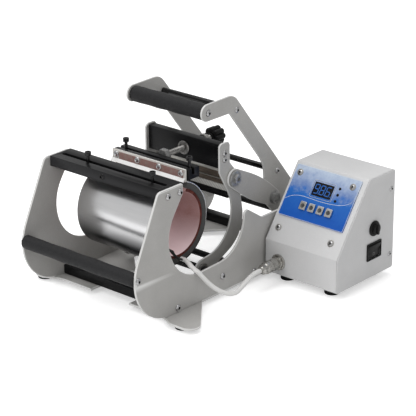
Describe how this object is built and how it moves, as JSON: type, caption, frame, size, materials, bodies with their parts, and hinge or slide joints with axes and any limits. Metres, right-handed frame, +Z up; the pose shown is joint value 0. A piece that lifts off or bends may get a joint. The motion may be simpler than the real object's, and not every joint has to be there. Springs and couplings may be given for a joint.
{
  "type": "mug heat press",
  "caption": "Manual mug heat press: C-shaped side plates hold a round heater, toggle handle and swinging clamp, wired to a separate control box.",
  "frame": {"origin": "bottom centre of the box round the press, its control box and the lead, on the bench", "axes": "+Z up, +X towards the control box, +Y towards the back"},
  "size_m": [0.3495, 0.3658, 0.242],
  "materials": {
    "frame_paint": "satin pale grey powder coat",
    "black_paint": "satin black",
    "light_paint": "satin light grey",
    "rubber": "matt black",
    "steel": "bright",
    "chrome": "polished",
    "silicone": "matt red-brown",
    "insulation": "grey felt",
    "box_paint": "satin light grey",
    "panel_print": "blue printed film",
    "black_plastic": "satin black",
    "white_plastic": "white",
    "lead_jacket": "matt grey"
  },
  "bodies": {
    "frame": {"side_plate_left": "frame_paint", "side_plate_right": "frame_paint", "foot_plate_left": "frame_paint", "foot_plate_right": "frame_paint", "foot_pad_front_left": "rubber", "foot_pad_front_right": "rubber", "foot_pad_rear_left": "rubber", "foot_pad_rear_right": "rubber", "front_bar": "black_paint", "front_grip": "rubber", "front_slot_screw_left": "black_paint", "front_slot_screw_right": "black_paint", "cross_bar_front": "black_paint", "cross_bar_middle": "black_paint", "cross_bar_rear": "black_paint", "swing_shaft": "black_paint", "handle_shaft": "black_paint", "heater_mat": "silicone", "heater_insulation": "insulation", "heater_band": "steel", "box_shell": "box_paint", "box_cover": "box_paint", "box_foot_front_left": "rubber", "box_foot_front_right": "rubber", "box_foot_rear_left": "rubber", "box_foot_rear_right": "rubber", "control_panel": "panel_print", "display": "black_plastic", "lead_socket": "chrome", "lead_plug": "chrome", "heater_lead": "lead_jacket"},
    "swing": {"swing_arm_left": "frame_paint", "swing_arm_right": "frame_paint", "pressure_beam": "black_paint", "arm_tie_bar": "light_paint", "link_front_bolt_left": "chrome", "link_front_bolt_right": "chrome"},
    "rear_clamp": {"heater_rear_flap": "insulation", "rear_clamp_plate": "steel", "rear_clamp_bar": "black_paint", "rear_slot_screw_left": "black_paint", "rear_slot_screw_right": "black_paint", "thrust_cup": "chrome"},
    "pressure_screw": {"pressure_rod": "chrome", "pressure_knob": "black_plastic"},
    "handle": {"handle_arm_left": "frame_paint", "handle_arm_right": "frame_paint", "handle_grip": "rubber", "elbow_rod": "black_paint", "spacer_rod": "black_paint", "link_rear_bolt_left": "steel", "link_rear_bolt_right": "steel"},
    "links": {"link_left": "frame_paint", "link_right": "frame_paint"},
    "button_unit_1": {"button_1": "white_plastic"},
    "button_unit_2": {"button_2": "white_plastic"},
    "button_unit_3": {"button_3": "white_plastic"},
    "button_unit_4": {"button_4": "white_plastic"},
    "rocker": {"rocker_switch": "black_plastic"},
    "fuse": {"fuse_cap": "black_plastic"}
  },
  "joints": [
    {"name": "handle_swing", "type": "hinge", "parent": "frame", "child": "handle", "pos_m": [-0.04675, 0.1375, 0.058], "axis": [1, 0, 0], "range_deg": [-45, 8]},
    {"name": "frame_swing", "type": "hinge", "parent": "frame", "child": "swing", "pos_m": [-0.04675, -0.0221, 0.0285], "axis": [1, 0, 0], "range_deg": [-9.1, 1.7]},
    {"name": "link_pivot", "type": "hinge", "parent": "handle", "child": "links", "pos_m": [-0.04675, 0.1145, 0.0857], "axis": [1, 0, 0], "range_deg": [-10.6, 59.1]},
    {"name": "clamp_slide", "type": "slide", "parent": "swing", "child": "rear_clamp", "axis": [0, 1, 0], "range_m": [-0.0025, 0.0025]},
    {"name": "knob_turn", "type": "hinge", "parent": "rear_clamp", "child": "pressure_screw", "pos_m": [-0.04675, 0.0779, 0.1649], "axis": [0, 1, 0], "range_deg": [-725, 725]},
    {"name": "button_press_1", "type": "slide", "parent": "frame", "child": "button_unit_1", "axis": [0, 0.8099, -0.5866], "range_m": [0, 0.0005], "stiffness_N_per_m": 400},
    {"name": "button_press_2", "type": "slide", "parent": "frame", "child": "button_unit_2", "axis": [0, 0.8099, -0.5866], "range_m": [0, 0.0005], "stiffness_N_per_m": 400},
    {"name": "button_press_3", "type": "slide", "parent": "frame", "child": "button_unit_3", "axis": [0, 0.8099, -0.5866], "range_m": [0, 0.0005], "stiffness_N_per_m": 400},
    {"name": "button_press_4", "type": "slide", "parent": "frame", "child": "button_unit_4", "axis": [0, 0.8099, -0.5866], "range_m": [0, 0.0005], "stiffness_N_per_m": 400},
    {"name": "rocker_tilt", "type": "hinge", "parent": "frame", "child": "rocker", "pos_m": [0.1658, 0.1319, 0.0455], "axis": [0, 1, 0], "range_deg": [-16, 0]},
    {"name": "fuse_turn", "type": "hinge", "parent": "frame", "child": "fuse", "pos_m": [0.16675, 0.1311, 0.0757], "axis": [1, 0, 0], "range_deg": [0, 90]}
  ],
  "couplings": [
    {"joint": "frame_swing", "follows": "handle_swing", "ratio": 0.2},
    {"joint": "link_pivot", "follows": "handle_swing", "ratio": -1.31},
    {"joint": "knob_turn", "follows": "clamp_slide", "rad_per_m": 5026.5}
  ]
}
